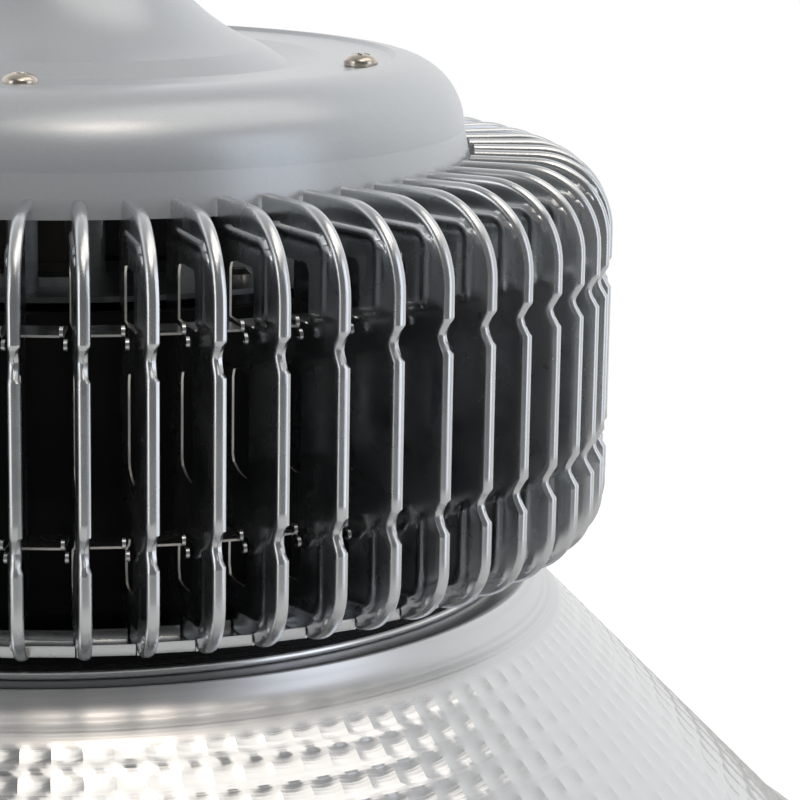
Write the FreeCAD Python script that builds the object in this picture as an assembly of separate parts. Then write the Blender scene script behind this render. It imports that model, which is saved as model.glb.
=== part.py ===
import FreeCAD, Part
import math
import os

from FreeCAD import Vector

# High bay light, hung by its eye: a bell cover over a ring of stamped fins, with a dimpled cone
# reflector below. Millimetres, +Z up. The origin is on the lamp's axis in the plane of the
# reflector's rim. Bearings are degrees round the axis from -Y towards +X.

# ---- driving dimensions ------------------------------------------------------------------------
FIN_COUNT = 60
FIN_RADIUS = 160.0          # outside of the fin ring
FIN_HEIGHT = 112.0
SHEET = 0.6                 # fin sheet
FLANGE = 3.5                # width of the lip bent round each fin's edge
FIRST_FIN = -4.8            # bearing of one fin

RIM_RADIUS = 240.0          # where the cone of the reflector ends in its rolled rim
ROLL = 2.5                  # radius of the rolled rim
REFLECTOR_WALL = 1.2

COVER_RISE = 31.5           # from the cover's open edge up to its flat top
COVER_WALL = 1.2
NECK_RADIUS = 24.0
NECK_RISE = 43.5            # from the flat top up to the neck's end

EYE_BORE = 10.0             # radius of the hole that the hook goes through
EYE_WIDTH = 8.0
FIT = 0.1                   # clearance round a shank in its hole

M5 = (2.5, 4.8, 3.6)        # pan head screws: shank radius, head radius, head height
M4 = (2.0, 3.6, 2.6)
M3 = (1.5, 2.7, 2.0)
M2_5 = (1.25, 2.4, 1.6)
SCREW_SLOT = 0.9            # width and depth of the slot in a screw's head

# ---- sizes worked out from them ----------------------------------------------------------------
FIN_PITCH = 360.0 / FIN_COUNT
FIN_INNER = FIN_RADIUS - 44.0
BASE_RADIUS = FIN_INNER + 10.0
BASE_THICK = 7.2
COLLAR_RADIUS = BASE_RADIUS + 6.5
COLLAR_THICK = 2.4
COLLAR_HOLE = BASE_RADIUS - 20.0
REFLECTOR_SCREW_CIRCLE = COLLAR_HOLE + 9.0

RIM_Z = ROLL + 0.5          # height of the cone's end, inside the roll
CONE_TOP_RADIUS = COLLAR_RADIUS + 3.7       # the reflector's cone falls at 45 degrees from here
COLLAR_UNDER_Z = RIM_Z + RIM_RADIUS - CONE_TOP_RADIUS
BASE_UNDER_Z = COLLAR_UNDER_Z + COLLAR_THICK
FIN_BOTTOM_Z = BASE_UNDER_Z + BASE_THICK
FIN_TOP_Z = FIN_BOTTOM_Z + FIN_HEIGHT

COVER_RADIUS = FIN_INNER + 3.0              # at its open edge
COVER_EDGE_Z = FIN_TOP_Z - 5.4              # the cover stands on a step in every fin
COVER_TOP_Z = COVER_EDGE_Z + COVER_RISE
COVER_SEAT_Z = COVER_TOP_Z - 0.9            # flat ring inside the shoulder that the screws sit on
COVER_UNDER_Z = COVER_SEAT_Z - COVER_WALL
NECK_TOP_Z = COVER_TOP_Z + NECK_RISE
CAP_THICK = 6.0

PLATE_RADIUS = FIN_INNER - 16.0
PLATE_THICK = 1.5
PLATE_TOP_Z = FIN_TOP_Z - 28.4
PLATE_UNDER_Z = PLATE_TOP_Z - PLATE_THICK
PILLAR_CIRCLE = PLATE_RADIUS - 16.0
PILLAR_COUNT = 3
SCREW_CIRCLE = PLATE_RADIUS - 9.7
FIRST_SCREW = FIRST_FIN - 1.7
SCREW_SPREAD = 74.0         # bearing between two screws of a pair; the other pair is opposite

TUBE_WALL = 4.0             # of the tube that the fins stand round
PIPE_RADIUS = 4.0
PIPE_COUNT = 6
PIPE_CIRCLE = FIN_INNER - TUBE_WALL - PIPE_RADIUS - 0.2
PIPE_TOP_Z = PLATE_UNDER_Z - 10.0
PIPE_BEND = 12.0
PIPE_START = 30.0           # where a pipe starts, from the axis
FIRST_PIPE = FIRST_FIN + 1.5 * FIN_PITCH


def bearing(angle, radius, z=0.0):
    """The point at a bearing in degrees, a radius and a height."""
    a = math.radians(angle)
    return Vector(radius * math.sin(a), -radius * math.cos(a), z)


def disc(radius, z_low, z_high, at=None):
    """An upright cylinder between two heights, on the axis or at another point."""
    foot = Vector(at.x, at.y, z_low) if at else Vector(0, 0, z_low)
    return Part.makeCylinder(radius, z_high - z_low, foot)


def ring(inner, outer, z_low, z_high, at=None):
    """An upright tube."""
    return disc(outer, z_low, z_high, at).cut(disc(inner, z_low, z_high, at))


def box(x, y, z):
    """A box from three (low, high) pairs."""
    return Part.makeBox(x[1] - x[0], y[1] - y[0], z[1] - z[0], Vector(x[0], y[0], z[0]))


def hexagon(flats, z_low, z_high, at):
    """An upright hexagonal prism with the given width across its flats."""
    corner = flats / math.sqrt(3)
    points = [Vector(at.x, at.y, z_low) + bearing(60 * k, corner) for k in range(7)]
    return Part.Face(Part.makePolygon(points)).extrude(Vector(0, 0, z_high - z_low))


def outline(*edges):
    """A face in the XZ plane. A pair is the next corner; three pairs in a tuple are an arc through
    the middle one, from the first to the last."""
    shapes = []
    last = None
    first = None
    for item in edges:
        is_arc = isinstance(item[0], tuple)
        start = Vector(item[0][0], 0, item[0][1]) if is_arc else Vector(item[0], 0, item[1])
        if last is not None and (start - last).Length > 1e-6:
            shapes.append(Part.makeLine(last, start))
        last = start
        first = first or start
        if is_arc:
            middle, end = (Vector(x, 0, z) for x, z in item[1:])
            shapes.append(Part.Arc(start, middle, end).toShape())
            last = end
    if (last - first).Length > 1e-6:
        shapes.append(Part.makeLine(last, first))
    return Part.Face(Part.Wire(shapes))


def arc(cx, cz, radius, start, end):
    """Three points on a circle in the XZ plane, for outline(); degrees from +X towards +Z."""
    angles = (start, (start + end) / 2, end)
    turns = [math.radians(a) for a in angles]
    return tuple((cx + radius * math.cos(t), cz + radius * math.sin(t)) for t in turns)


def turned(face):
    """The solid that a face in the XZ plane makes round the lamp's axis."""
    return face.revolve(Vector(0, 0, 0), Vector(0, 0, 1), 360)


def turned_to(shape, angle):
    """A shape made along +X, moved round to a bearing."""
    moved = shape.copy()
    moved.rotate(Vector(0, 0, 0), Vector(0, 0, 1), angle - 90)
    return moved


def places(count, radius, first):
    """Evenly spaced points on a circle round the axis."""
    return [bearing(first + k * 360.0 / count, radius) for k in range(count)]


def screw(at, z_seat, size, length, up=1):
    """A pan head screw: its head's flat side is at z_seat, up=1 puts the head above it."""
    shank, head, head_height = size
    body = Part.makeCylinder(shank, length, Vector(at.x, at.y, z_seat), Vector(0, 0, -up))
    rise = 0.45 * head_height
    rim = Part.makeCylinder(head, rise, Vector(at.x, at.y, z_seat), Vector(0, 0, up))
    crown = Part.makeCone(
        head, 0.6 * head, head_height - rise, Vector(at.x, at.y, z_seat + up * rise),
        Vector(0, 0, up),
    )
    slot = Part.makeBox(head, SCREW_SLOT, SCREW_SLOT)
    low = z_seat + head_height - SCREW_SLOT if up > 0 else z_seat - head_height
    slot.translate(Vector(at.x - head / 2, at.y - SCREW_SLOT / 2, low))
    return body.fuse(rim).fuse(crown).removeSplitter().cut(slot)


def hole(size):
    """Radius of the hole that a screw goes into."""
    return size[0] + FIT


def drill(shape, points, radius, z_low, z_high):
    """The shape with an upright hole at each point."""
    for at in points:
        shape = shape.cut(disc(radius, z_low, z_high, at))
    return shape


# ---- fins --------------------------------------------------------------------------------------
CORNER_TOP = 22.0
CORNER_BOTTOM = 16.0
NOTCH_DEPTH = 2.7
NOTCH_LENGTH = 8.8
NOTCHES = (FIN_TOP_Z - 34.3, FIN_BOTTOM_Z + 30.5)       # mid heights
TAB_INNER = FIN_RADIUS - 30.0
TAB_OUTER = FIN_RADIUS - 17.5
SHELF_UPPER_Z = NOTCHES[0] + 4.2
SHELF_LOWER_Z = FIN_BOTTOM_Z + 27.6
WINDOW_OUTER = FIN_RADIUS - 14.5


def fin_path(inset=0.0):
    """Corners of a fin's lipped edge, from the cover's foot out, down and in, moved in by inset."""
    side = FIN_RADIUS - inset
    points = [(COVER_RADIUS + 0.8, FIN_TOP_Z - inset)]
    for step in range(4):
        a = math.radians(90 - 30 * step)
        radius = CORNER_TOP - inset
        points.append((
            FIN_RADIUS - CORNER_TOP + radius * math.cos(a),
            FIN_TOP_Z - CORNER_TOP + radius * math.sin(a),
        ))
    for middle in NOTCHES:
        points.append((side, middle + NOTCH_LENGTH / 2))
        points.append((side - NOTCH_DEPTH, middle))
        points.append((side, middle - NOTCH_LENGTH / 2))
    for step in range(3):
        a = math.radians(-45 * step)
        radius = CORNER_BOTTOM - inset
        points.append((
            FIN_RADIUS - CORNER_BOTTOM + radius * math.cos(a),
            FIN_BOTTOM_Z + CORNER_BOTTOM + radius * math.sin(a),
        ))
    return points


def sheet(points, y, depth):
    """A flat plate on XZ corners, from y to y + depth."""
    loop = [Vector(x, y, z) for x, z in points + points[:1]]
    return Part.Face(Part.makePolygon(loop)).extrude(Vector(0, depth, 0))


def fin():
    """One stamped fin along +X: web, lip, two tabs bent from their windows and a foot tab."""
    edge = fin_path()
    inner = [
        (FIN_INNER, FIN_BOTTOM_Z), (FIN_INNER, COVER_EDGE_Z), (COVER_RADIUS + 0.8, COVER_EDGE_Z),
    ]
    body = sheet(edge + inner, 0, SHEET).fuse(sheet(edge + fin_path(SHEET)[::-1], 0, FLANGE))
    windows = (
        (WINDOW_OUTER, (SHELF_UPPER_Z, SHELF_UPPER_Z + 15.7)),
        (TAB_OUTER, (FIN_BOTTOM_Z + 14.7, SHELF_LOWER_Z)),
    )
    for outer, height in windows:
        body = body.cut(box((TAB_INNER, outer), (-1, SHEET + 0.01), height))
    reach = TAB_INNER * math.radians(FIN_PITCH) - SHEET - 0.25
    tabs = (
        (TAB_OUTER, SHELF_UPPER_Z),
        (TAB_OUTER, SHELF_LOWER_Z + SHEET),
        (FIN_RADIUS - CORNER_BOTTOM, FIN_BOTTOM_Z + SHEET),
    )
    for outer, top in tabs:
        body = body.fuse(box((TAB_INNER, outer), (0, reach), (top - SHEET, top)))
    return body.removeSplitter()


def cooling_fins():
    """The ring of fins, each a solid of its own."""
    one = fin()
    fins = [turned_to(one, FIRST_FIN + k * FIN_PITCH) for k in range(FIN_COUNT)]
    return Part.makeCompound(fins)


# ---- cover -------------------------------------------------------------------------------------
SHOULDER = 20.0
COVER_SCREW_LENGTH = 12.0
PLATE_SCREW_LENGTH = 10.0
POST_RADIUS = 4.2
FLARE_START = 20.0          # degrees from flat where the flare begins
DISH_RADIUS = SCREW_CIRCLE - 24.3
SEAT_RADII = (SCREW_CIRCLE - 15.3, SCREW_CIRCLE + 5.1)
BOSS_RADIUS = DISH_RADIUS - 8.0
NECK_SWEEP = round(1.612 * (BOSS_RADIUS - NECK_RADIUS), 1)   # radius of the flare up to the neck
BOSS_Z = COVER_TOP_Z + 2.0
DISH_Z = COVER_TOP_Z - 2.9


def cover_skin(inset):
    """One face of the bell, from its open edge up to the neck's top, as outline() items."""
    shoulder = SHOULDER - inset
    wall = COVER_RADIUS - 2.4
    sweep = NECK_SWEEP + inset
    a0 = math.radians(FLARE_START)
    centre_r = BOSS_RADIUS + NECK_SWEEP * math.sin(a0)
    centre_z = BOSS_Z + NECK_SWEEP * math.cos(a0)
    top_turn = math.acos((centre_r - NECK_RADIUS + inset) / sweep)
    return [
        (COVER_RADIUS - inset, COVER_EDGE_Z),
        arc(wall - SHOULDER, COVER_TOP_Z - SHOULDER, shoulder, 0, 90),
        (SEAT_RADII[1], COVER_SEAT_Z - inset), (SEAT_RADII[0], COVER_SEAT_Z - inset),
        (DISH_RADIUS, DISH_Z - inset),
        (BOSS_RADIUS + 2.5, BOSS_Z - 1.5 - inset),
        arc(centre_r, centre_z, sweep, 270 - FLARE_START, 180 + math.degrees(top_turn)),
        (NECK_RADIUS - inset, NECK_TOP_Z),
    ]


def top_cover():
    """The spun bell: a shell with a rounded shoulder, a dished ring and a flared neck."""
    outside = cover_skin(0)
    inside = []
    for item in reversed(cover_skin(COVER_WALL)):
        inside.append(item[::-1] if isinstance(item[0], tuple) else item)
    shell = turned(outline(*outside, *inside))
    shell = drill(shell, cover_screw_places(), hole(M5), COVER_UNDER_Z - 1, COVER_TOP_Z + 1)
    return drill(shell, [gland_place()], GLAND_THREAD + FIT, COVER_UNDER_Z - 1, COVER_TOP_Z + 1)


def cover_screw_places():
    """At the corners of a rectangle, as two pairs."""
    turns = (0, SCREW_SPREAD, 180, 180 + SCREW_SPREAD)
    return [bearing(FIRST_SCREW + turn, SCREW_CIRCLE) for turn in turns]


def cover_screws():
    """Four M5 pan heads."""
    made = [screw(at, COVER_SEAT_Z, M5, COVER_SCREW_LENGTH) for at in cover_screw_places()]
    return Part.makeCompound(made)


def cover_posts():
    """Posts from the driver plate up to the cover, drilled at both ends."""
    posts = []
    for at in cover_screw_places():
        post = disc(POST_RADIUS, PLATE_TOP_Z, COVER_UNDER_Z, at)
        post = drill(post, [at], hole(M5), COVER_UNDER_Z - COVER_SCREW_LENGTH - 2, COVER_UNDER_Z + 1)
        posts.append(drill(post, [at], hole(M4), PLATE_TOP_Z - 1, PLATE_TOP_Z + PLATE_SCREW_LENGTH))
    return Part.makeCompound(posts)


def post_screws():
    """M4 screws up through the plate into the posts."""
    made = [screw(at, PLATE_UNDER_Z, M4, PLATE_SCREW_LENGTH, -1) for at in cover_screw_places()]
    return Part.makeCompound(made)


# ---- hanger ------------------------------------------------------------------------------------
EYE_SHANK = 5.0
CAP_TOP_Z = NECK_TOP_Z + CAP_THICK
SPIGOT_LENGTH = 7.0
SPIGOT_UNDER_Z = NECK_TOP_Z - SPIGOT_LENGTH
EYE_OUTER = EYE_BORE + 8.0
EYE_Z = CAP_TOP_Z + EYE_OUTER + 2.0


def neck_cap():
    """Turned plug that closes the neck and takes the eye bolt."""
    spigot = NECK_RADIUS - COVER_WALL - FIT
    bore = EYE_SHANK + FIT
    face = outline(
        (bore, SPIGOT_UNDER_Z), (spigot, SPIGOT_UNDER_Z), (spigot, NECK_TOP_Z),
        (NECK_RADIUS + 1.5, NECK_TOP_Z), (NECK_RADIUS + 1.5, CAP_TOP_Z - 2),
        (NECK_RADIUS - 0.5, CAP_TOP_Z), (bore, CAP_TOP_Z),
    )
    return turned(face)


def eye_bolt():
    """Forged eye: a ring with a drilled bore along Y, a collar and a threaded shank."""
    y = Vector(0, 1, 0)
    start = Vector(0, -EYE_WIDTH / 2, EYE_Z)
    eye = Part.makeCylinder(EYE_OUTER, EYE_WIDTH, start, y)
    rims = [e for e in eye.Edges if abs(e.Length - 2 * math.pi * EYE_OUTER) < 0.1]
    eye = eye.makeChamfer(1.8, rims)
    collar = disc(EYE_OUTER * 0.6, CAP_TOP_Z, CAP_TOP_Z + 4)
    shank = disc(EYE_SHANK, SPIGOT_UNDER_Z - 16, CAP_TOP_Z + 1)
    solid = eye.fuse(collar).fuse(shank)
    return solid.cut(Part.makeCylinder(EYE_BORE, EYE_WIDTH, start, y)).removeSplitter()


def hanger_washer():
    return ring(EYE_SHANK + FIT, 10, SPIGOT_UNDER_Z - 2, SPIGOT_UNDER_Z)


def hanger_nut():
    nut = hexagon(17, SPIGOT_UNDER_Z - 10, SPIGOT_UNDER_Z - 2, Vector(0, 0, 0))
    return nut.cut(disc(EYE_SHANK + FIT, SPIGOT_UNDER_Z - 11, SPIGOT_UNDER_Z))


# ---- cable gland, behind the neck ----------------------------------------------------------------
GLAND_THREAD = 8.0
GLAND_CIRCLE = SCREW_CIRCLE - 5.1
GLAND_FLATS = 20.0


def gland_place():
    """Half way between the two cover screws at the back."""
    return bearing(FIRST_SCREW + 180 + SCREW_SPREAD / 2, GLAND_CIRCLE)


def gland_body():
    """Threaded both ends with a hexagon between, standing on the cover."""
    at = gland_place()
    flange = hexagon(GLAND_FLATS, COVER_SEAT_Z, COVER_SEAT_Z + 5, at)
    thread = disc(GLAND_THREAD, COVER_UNDER_Z - 8, COVER_SEAT_Z + 11, at)
    bore = disc(6, COVER_UNDER_Z - 9, COVER_SEAT_Z + 12, at)
    return flange.fuse(thread).cut(bore).removeSplitter()


def gland_nut():
    """Domed sealing nut over the upper thread."""
    at = gland_place()
    low = COVER_SEAT_Z + 5
    nut = hexagon(GLAND_FLATS - 1, low, low + 8, at)
    dome = Part.makeCone(GLAND_FLATS / 2 - 0.5, 7, 5, Vector(at.x, at.y, low + 8))
    inside = disc(GLAND_THREAD + FIT, low - 1, low + 9, at)
    mouth = disc(4.5, low, low + 14, at)
    return nut.fuse(dome).cut(inside).cut(mouth).removeSplitter()


def gland_seal():
    """Rubber plug, still closed because no cord has been put through it."""
    at = gland_place()
    return disc(6, COVER_SEAT_Z + 3, COVER_SEAT_Z + 13.9, at).cut(disc(5.2, 0, COVER_SEAT_Z + 5, at))


def gland_locknut():
    at = gland_place()
    nut = hexagon(GLAND_FLATS, COVER_UNDER_Z - 5, COVER_UNDER_Z, at)
    return nut.cut(disc(GLAND_THREAD + FIT, 0, COVER_SEAT_Z, at))


# ---- driver deck ---------------------------------------------------------------------------------
CASE_X = (37.3 - SCREW_CIRCLE, 3.0)
CASE_Y = (12.8 - SCREW_CIRCLE, SCREW_CIRCLE - 24.3)
FOOT_EAR = 7.0              # how far the strap reaches past the case at each end
FOOT_X = (CASE_X[0] + 10.0, CASE_X[1])
FOOT_Y = (CASE_Y[0] - FOOT_EAR, CASE_Y[1] + FOOT_EAR)
FOOT_THICK = 2.6
CASE_HEIGHT = 36.0
TERMINAL_X = (CASE_X[1] + 9.0, CASE_X[1] + 27.0)
TERMINAL_Y = (CASE_Y[0] + 25.5, CASE_Y[0] + 73.5)


LEAD_PLACE = Vector(SCREW_CIRCLE / 2, CASE_Y[1] / 2, 0)     # hole for the leads to the board
LEAD_HOLE = 9.0
PILLAR_RADIUS = 5.0
PILLAR_STUD = (2.5, 5.0)    # radius and length
MOUTH = (5.2, 9.0, 6.0)     # width, height and depth of a wire's mouth
MOUTH_COUNT = 5


def pillar_places():
    return places(PILLAR_COUNT, PILLAR_CIRCLE, FIRST_PIPE + 180.0 / PIPE_COUNT)


def driver_foot_places():
    xs = (FOOT_X[0] + 6, FOOT_X[1] - 19)
    ys = (FOOT_Y[0] + 3.6, FOOT_Y[1] - 3.6)
    return [Vector(x, y, 0) for x in xs for y in ys]


def terminal_places():
    x = sum(TERMINAL_X) / 2
    return [Vector(x, TERMINAL_Y[0] - 5, 0), Vector(x, TERMINAL_Y[1] + 5, 0)]


def driver_plate():
    """The deck that carries the driver, drilled for everything screwed to it."""
    plate = disc(PLATE_RADIUS, PLATE_UNDER_Z, PLATE_TOP_Z)
    plate = drill(plate, [LEAD_PLACE], LEAD_HOLE, PLATE_UNDER_Z - 1, PLATE_TOP_Z + 1)
    shanks = cover_screw_places() + pillar_places()
    plate = drill(plate, shanks, hole(M4), PLATE_UNDER_Z - 1, PLATE_TOP_Z + 1)
    small = driver_foot_places() + terminal_places()
    return drill(plate, small, hole(M3), PLATE_UNDER_Z - 1, PLATE_TOP_Z + 1)


def plate_pillars():
    """Turned pillars with a stud at the foot, screwed into the base plate."""
    made = []
    for at in pillar_places():
        column = disc(PILLAR_RADIUS, FIN_BOTTOM_Z, PLATE_UNDER_Z, at)
        stud = disc(PILLAR_STUD[0], FIN_BOTTOM_Z - PILLAR_STUD[1], FIN_BOTTOM_Z + 1, at)
        column = drill(column, [at], hole(M4), PLATE_UNDER_Z - PLATE_SCREW_LENGTH, PLATE_UNDER_Z + 1)
        made.append(column.fuse(stud).removeSplitter())
    return Part.makeCompound(made)


def pillar_screws():
    made = [screw(at, PLATE_TOP_Z, M4, PLATE_SCREW_LENGTH) for at in pillar_places()]
    return Part.makeCompound(made)


def driver_case():
    """Potted driver: a case that narrows upwards, with a lip round its foot."""
    low = PLATE_TOP_Z + FOOT_THICK
    foot = box(CASE_X, CASE_Y, (low, low + 3))
    draft = 2.0
    lower = [(CASE_X[0] + 1.5, CASE_Y[0] + 1.5), (CASE_X[1] - 1.5, CASE_Y[1] - 1.5)]
    upper = [(x + d * draft, y + d * draft) for (x, y), d in zip(lower, (1, -1))]
    loops = []
    for corners, z in ((lower, low + 3), (upper, low + CASE_HEIGHT)):
        (x0, y0), (x1, y1) = corners
        square = [(x0, y0), (x1, y0), (x1, y1), (x0, y1), (x0, y0)]
        loops.append(Part.makePolygon([Vector(x, y, z) for x, y in square]))
    return foot.fuse(Part.makeLoft(loops, True)).removeSplitter()


def driver_foot():
    """Strap under the driver case with a screw ear at each end."""
    strap = box(FOOT_X, FOOT_Y, (PLATE_TOP_Z, PLATE_TOP_Z + FOOT_THICK))
    return drill(strap, driver_foot_places(), hole(M3), PLATE_TOP_Z - 1, PLATE_TOP_Z + 5)


def driver_screws():
    """M3 screws through the strap's ears and the terminal block's."""
    seats = [(at, PLATE_TOP_Z + FOOT_THICK) for at in driver_foot_places()]
    seats += [(at, PLATE_TOP_Z + 3) for at in terminal_places()]
    return Part.makeCompound([screw(at, z, M3, z - PLATE_UNDER_Z + 3) for at, z in seats])


def terminal_block():
    """Connector block: a row of wire mouths towards the driver side, an ear at each end."""
    ears = box(TERMINAL_X, (TERMINAL_Y[0] - 9, TERMINAL_Y[1] + 9), (PLATE_TOP_Z, PLATE_TOP_Z + 3))
    body = ears.fuse(box(TERMINAL_X, TERMINAL_Y, (PLATE_TOP_Z, PLATE_TOP_Z + 24)))
    width, height, depth = MOUTH
    pitch = (TERMINAL_Y[1] - TERMINAL_Y[0]) / MOUTH_COUNT
    floor = PLATE_TOP_Z + 9
    for k in range(MOUTH_COUNT):
        y = TERMINAL_Y[0] + pitch * (k + 0.5)
        span = (TERMINAL_X[0] - 1, TERMINAL_X[0] + depth)
        body = body.cut(box(span, (y - width / 2, y + width / 2), (floor, floor + height)))
    return drill(body, terminal_places(), hole(M3), PLATE_TOP_Z - 1, PLATE_TOP_Z + 4)


# ---- base and heat pipes -------------------------------------------------------------------------
def pipe_run(radius, start):
    """A pipe along +X on the base plate's face that turns up beside the tube, closed at its ends."""
    bend_x = PIPE_CIRCLE - PIPE_BEND
    bend_z = FIN_BOTTOM_Z + PIPE_BEND
    flat = Part.makeCylinder(radius, bend_x - start, Vector(start, 0, FIN_BOTTOM_Z), Vector(1, 0, 0))
    profile = Part.Face(Part.Wire(Part.makeCircle(
        radius, Vector(bend_x, 0, FIN_BOTTOM_Z), Vector(1, 0, 0))))
    elbow = profile.revolve(Vector(bend_x, 0, bend_z), Vector(0, -1, 0), 90)
    rise = Part.makeCylinder(radius, PIPE_TOP_Z - bend_z, Vector(PIPE_CIRCLE, 0, bend_z))
    return flat.fuse(elbow).fuse(rise).removeSplitter()


def core_tube():
    """Tube on the base plate that the fins' inner edges are soldered to."""
    return ring(FIN_INNER - TUBE_WALL, FIN_INNER, FIN_BOTTOM_Z, PLATE_UNDER_Z)


def pipe_bearings():
    return [FIRST_PIPE + k * 360.0 / PIPE_COUNT for k in range(PIPE_COUNT)]


def heat_pipes():
    """Six copper pipes from the base's middle out and up the inside of the tube."""
    one = pipe_run(PIPE_RADIUS, PIPE_START)
    tip = Part.makeCone(
        PIPE_RADIUS, 1.5, 5, Vector(PIPE_CIRCLE, 0, PIPE_TOP_Z), Vector(0, 0, 1))
    one = one.fuse(tip).removeSplitter()
    return Part.makeCompound([turned_to(one, a) for a in pipe_bearings()])


def base_plate():
    """Thick disc under the fins, grooved for the pipes and tapped on both faces."""
    plate = disc(BASE_RADIUS, BASE_UNDER_Z, FIN_BOTTOM_Z)
    groove = pipe_run(PIPE_RADIUS + 0.05, PIPE_START - 0.05)
    for a in pipe_bearings():
        plate = plate.cut(turned_to(groove, a))
    stud, depth = PILLAR_STUD
    plate = drill(plate, pillar_places(), stud + FIT, FIN_BOTTOM_Z - depth - 0.2, FIN_BOTTOM_Z + 1)
    plate = drill(plate, collar_screw_places(), hole(M4), BASE_UNDER_Z - 1, BASE_UNDER_Z + 6)
    plate = drill(plate, lens_screw_places(), hole(M3), BASE_UNDER_Z - 1, BASE_UNDER_Z + 5)
    return drill(plate, holder_screw_places(), hole(M2_5), BASE_UNDER_Z - 1, BASE_UNDER_Z + 3)


# ---- light engine --------------------------------------------------------------------------------
BOARD = 54.0
BOARD_THICK = 2.0
BOARD_UNDER_Z = BASE_UNDER_Z - BOARD_THICK
HOLDER_THICK = 3.0          # over the board
HOLDER_UNDER_Z = BOARD_UNDER_Z - HOLDER_THICK
GASKET_THICK = 2.0
LENS_RADIUS = COLLAR_HOLE - 14.0
LENS_THICK = 4.0
LENS_TOP_Z = BASE_UNDER_Z - GASKET_THICK
LENS_UNDER_Z = LENS_TOP_Z - LENS_THICK
LENS_DROP = 14.0            # how far the glass bulges below its flange
RING_RADIUS = LENS_RADIUS + 12.0
RING_THICK = 3.0
RING_WALL = 2.2
RING_LIP = 2.5
LENS_SCREW_LENGTH = 7.0
LENS_SCREW_CIRCLE = LENS_RADIUS + 7.5


HOLDER_RADIUS = 0.5 * BOARD + 18.0
EMITTER_RADIUS = 20.0
EMITTER_THICK = 0.8
ENGINE_TURN = 15.0          # bearing of the first lens screw and collar screw


def holder_screw_places():
    return places(2, HOLDER_RADIUS - 4, ENGINE_TURN + 30)


def lens_screw_places():
    return places(6, LENS_SCREW_CIRCLE, ENGINE_TURN)


def led_board():
    """Square board of the emitter, against the base plate."""
    half = BOARD / 2
    return box((-half, half), (-half, half), (BOARD_UNDER_Z, BASE_UNDER_Z))


def led_emitter():
    """Round field of phosphor on the board."""
    return disc(EMITTER_RADIUS, BOARD_UNDER_Z - EMITTER_THICK, BOARD_UNDER_Z)


def board_holder():
    """Moulded clamp ring: holds the board's corners and is screwed to the base plate."""
    body = disc(HOLDER_RADIUS, HOLDER_UNDER_Z, BASE_UNDER_Z)
    half = BOARD / 2 + 0.2
    body = body.cut(box((-half, half), (-half, half), (BOARD_UNDER_Z, BASE_UNDER_Z)))
    opening = Part.makeCone(
        EMITTER_RADIUS + 6, EMITTER_RADIUS + 2, HOLDER_THICK, Vector(0, 0, HOLDER_UNDER_Z))
    return drill(body.cut(opening), holder_screw_places(), hole(M2_5), 0, BASE_UNDER_Z + 1)


def holder_screws():
    made = [screw(at, HOLDER_UNDER_Z, M2_5, 7, -1) for at in holder_screw_places()]
    return Part.makeCompound(made)


def lens_gasket():
    return ring(LENS_RADIUS - 8, LENS_RADIUS, LENS_TOP_Z, BASE_UNDER_Z)


def glass_lens():
    """Pressed glass: a flat flange round a shallow dome of even thickness."""
    rim = LENS_RADIUS - 10
    sphere = (rim * rim + LENS_DROP * LENS_DROP) / (2 * LENS_DROP)
    half = math.degrees(math.asin(rim / sphere))
    centre = LENS_UNDER_Z - LENS_DROP + sphere
    inner = sphere - LENS_THICK
    inner_half = math.degrees(math.acos((centre - LENS_TOP_Z) / inner))
    face = outline(
        (0, LENS_UNDER_Z - LENS_DROP),
        arc(0, centre, sphere, -90, -90 + half),
        (LENS_RADIUS, LENS_UNDER_Z), (LENS_RADIUS, LENS_TOP_Z),
        arc(0, centre, inner, -90 + inner_half, -90),
    )
    return turned(face)


def lens_ring():
    """Clamp ring: its lip carries the glass, its flange is screwed to the base plate."""
    wall = LENS_RADIUS + 0.4
    face = outline(
        (LENS_RADIUS - 8, LENS_UNDER_Z - RING_LIP), (wall + RING_WALL, LENS_UNDER_Z - RING_LIP),
        (wall + RING_WALL, BASE_UNDER_Z - RING_THICK), (RING_RADIUS, BASE_UNDER_Z - RING_THICK),
        (RING_RADIUS, BASE_UNDER_Z), (wall, BASE_UNDER_Z), (wall, LENS_UNDER_Z),
        (LENS_RADIUS - 8, LENS_UNDER_Z),
    )
    return drill(turned(face), lens_screw_places(), hole(M3), 0, BASE_UNDER_Z + 1)


def lens_screws():
    seat = BASE_UNDER_Z - RING_THICK
    return Part.makeCompound([screw(at, seat, M3, LENS_SCREW_LENGTH, -1) for at in lens_screw_places()])


# ---- reflector -----------------------------------------------------------------------------------
REFLECTOR_TOP_Z = COLLAR_UNDER_Z
SHOULDER_STEP = (3.0, 5.0)  # how far it stands out past the cone's line, and its steep fall
SHOULDER_FOOT = 9.3         # from the flange down to the cone


def collar_screw_places():
    return places(6, REFLECTOR_SCREW_CIRCLE, ENGINE_TURN)


def reflector_collar():
    """Polished ring with a round edge between the base plate and the reflector."""
    middle = BASE_UNDER_Z - COLLAR_THICK / 2
    edge = COLLAR_THICK / 2
    face = outline(
        (COLLAR_HOLE, COLLAR_UNDER_Z),
        arc(COLLAR_RADIUS - edge, middle, edge, -90, 90),
        (COLLAR_HOLE, BASE_UNDER_Z),
    )
    return drill(turned(face), collar_screw_places(), hole(M4), 0, BASE_UNDER_Z + 1)


def shoulder(inset):
    """Corners of the reflector's shoulder, from its flange down to where the cone begins."""
    across, drop = SHOULDER_STEP
    foot = SHOULDER_FOOT
    back = inset * math.sqrt(0.5)
    top = CONE_TOP_RADIUS + across
    return [
        (top - inset, REFLECTOR_TOP_Z - inset),
        (top + drop / 3 - inset, REFLECTOR_TOP_Z - drop),
        (CONE_TOP_RADIUS + foot - back, REFLECTOR_TOP_Z - foot - back),
    ]


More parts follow.
